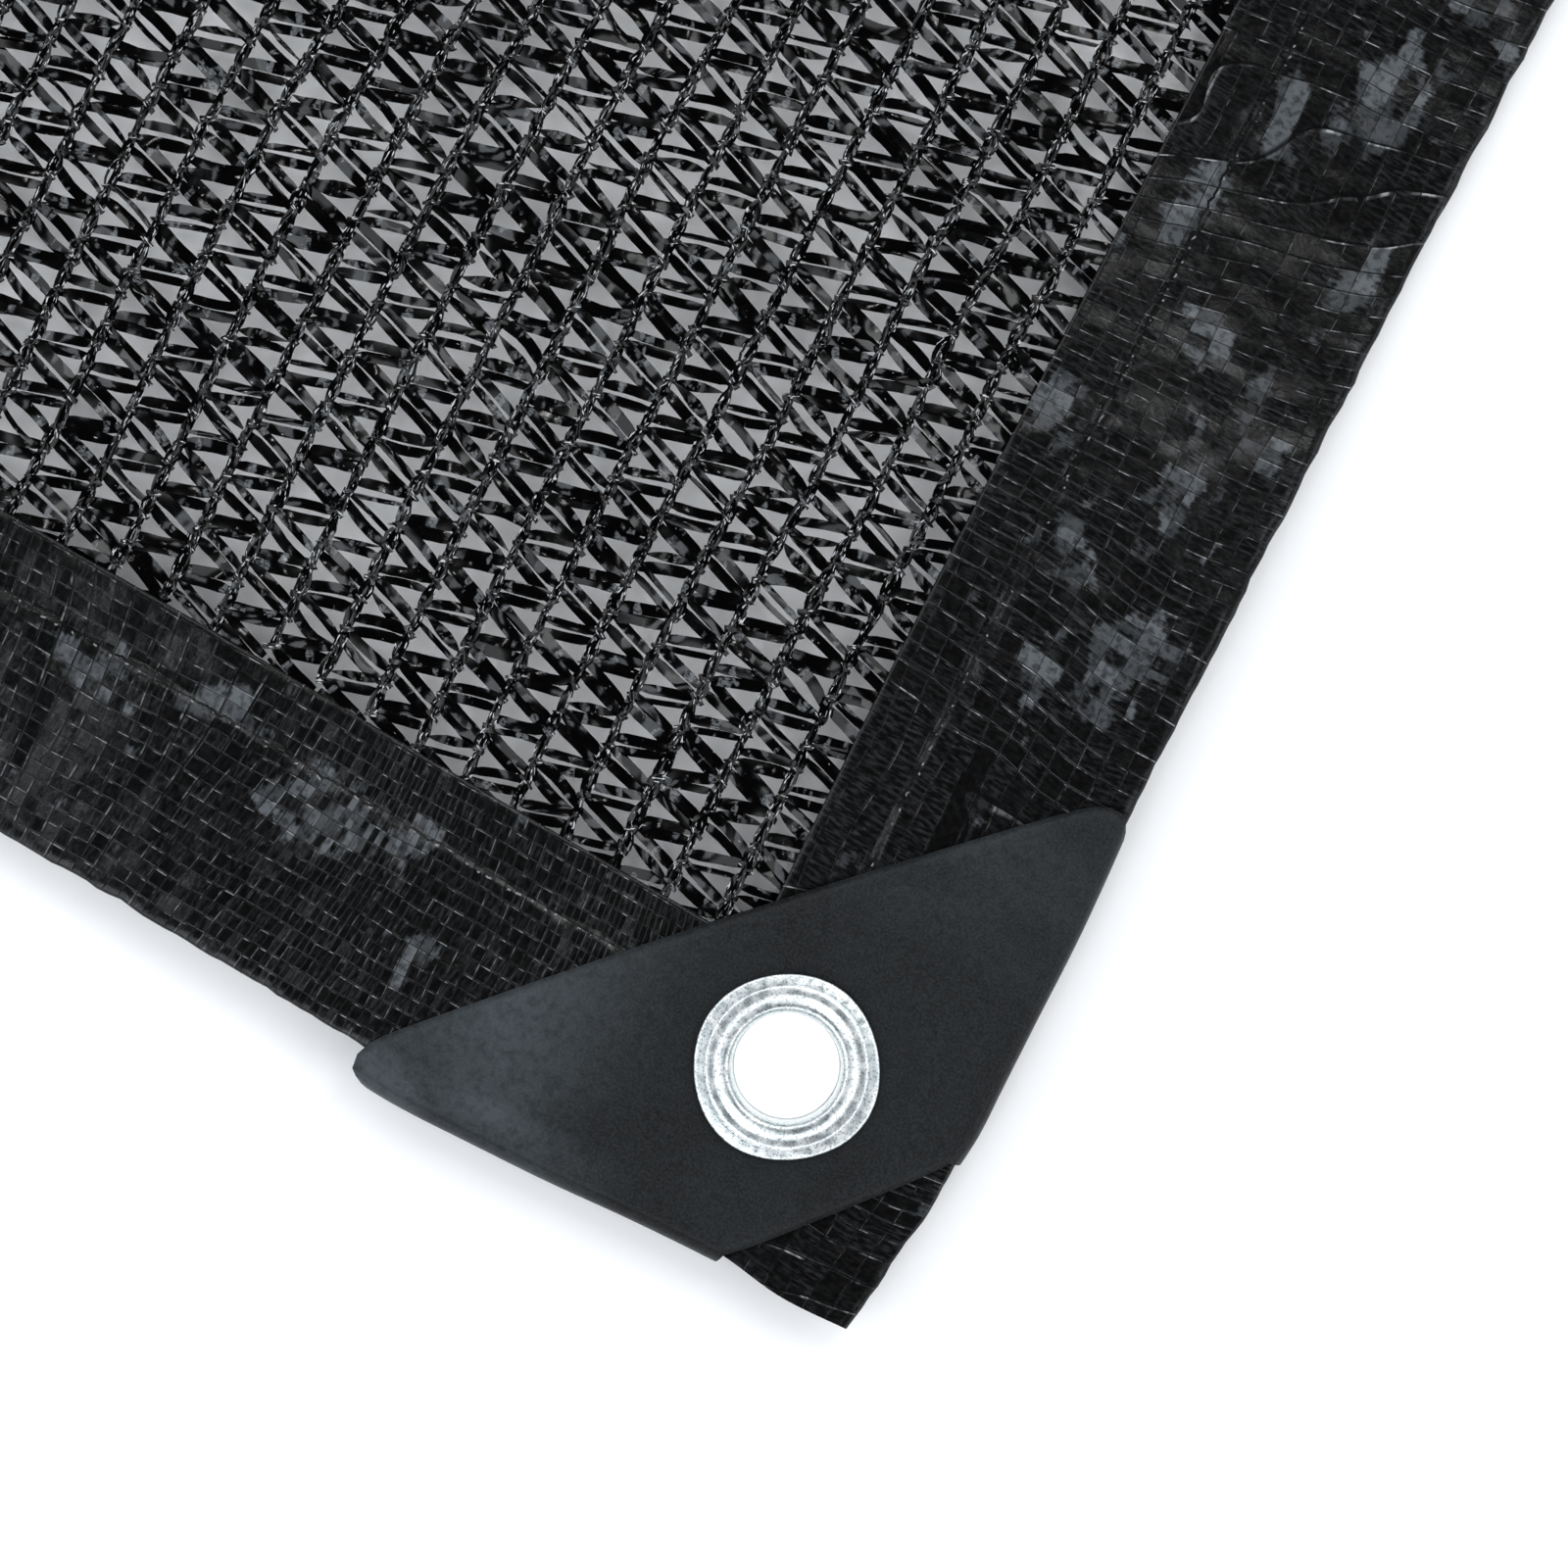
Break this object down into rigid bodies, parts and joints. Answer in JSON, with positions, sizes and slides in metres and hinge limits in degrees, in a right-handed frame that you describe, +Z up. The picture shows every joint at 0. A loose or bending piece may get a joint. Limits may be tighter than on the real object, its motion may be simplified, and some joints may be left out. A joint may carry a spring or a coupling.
{
  "type": "shade cloth",
  "caption": "Knitted black shade net panel with a folded woven edge binding, diagonal corner patches and metal eyelets, lying nearly flat.",
  "frame": {"origin": "middle of the panel's underside, on the surface that it lies on", "axes": "+X across the knitted wales, +Y along them and along the longer edge, +Z up out of the front face"},
  "size_m": [0.4264, 0.5062, 0.0095],
  "materials": {
    "net": "knitted polyethylene tape, black, glossy on its flats",
    "binding": "woven slit-film polyethylene tape, black, with a soft gloss",
    "patch": "matt black vinyl, with a faint bloom",
    "eyelet_metal": "zinc plated, crimped and lightly scratched"
  },
  "bodies": {
    "root": {"net_panel": "net", "binding_right": "binding", "binding_left": "binding", "binding_lower": "binding", "binding_upper": "binding", "corner_patch_lower_right": "patch", "eyelet_lower_right": "eyelet_metal", "washer_lower_right": "eyelet_metal", "corner_patch_lower_left": "patch", "eyelet_lower_left": "eyelet_metal", "washer_lower_left": "eyelet_metal", "corner_patch_upper_right": "patch", "eyelet_upper_right": "eyelet_metal", "washer_upper_right": "eyelet_metal", "corner_patch_upper_left": "patch", "eyelet_upper_left": "eyelet_metal", "washer_upper_left": "eyelet_metal"}
  },
  "joints": []
}
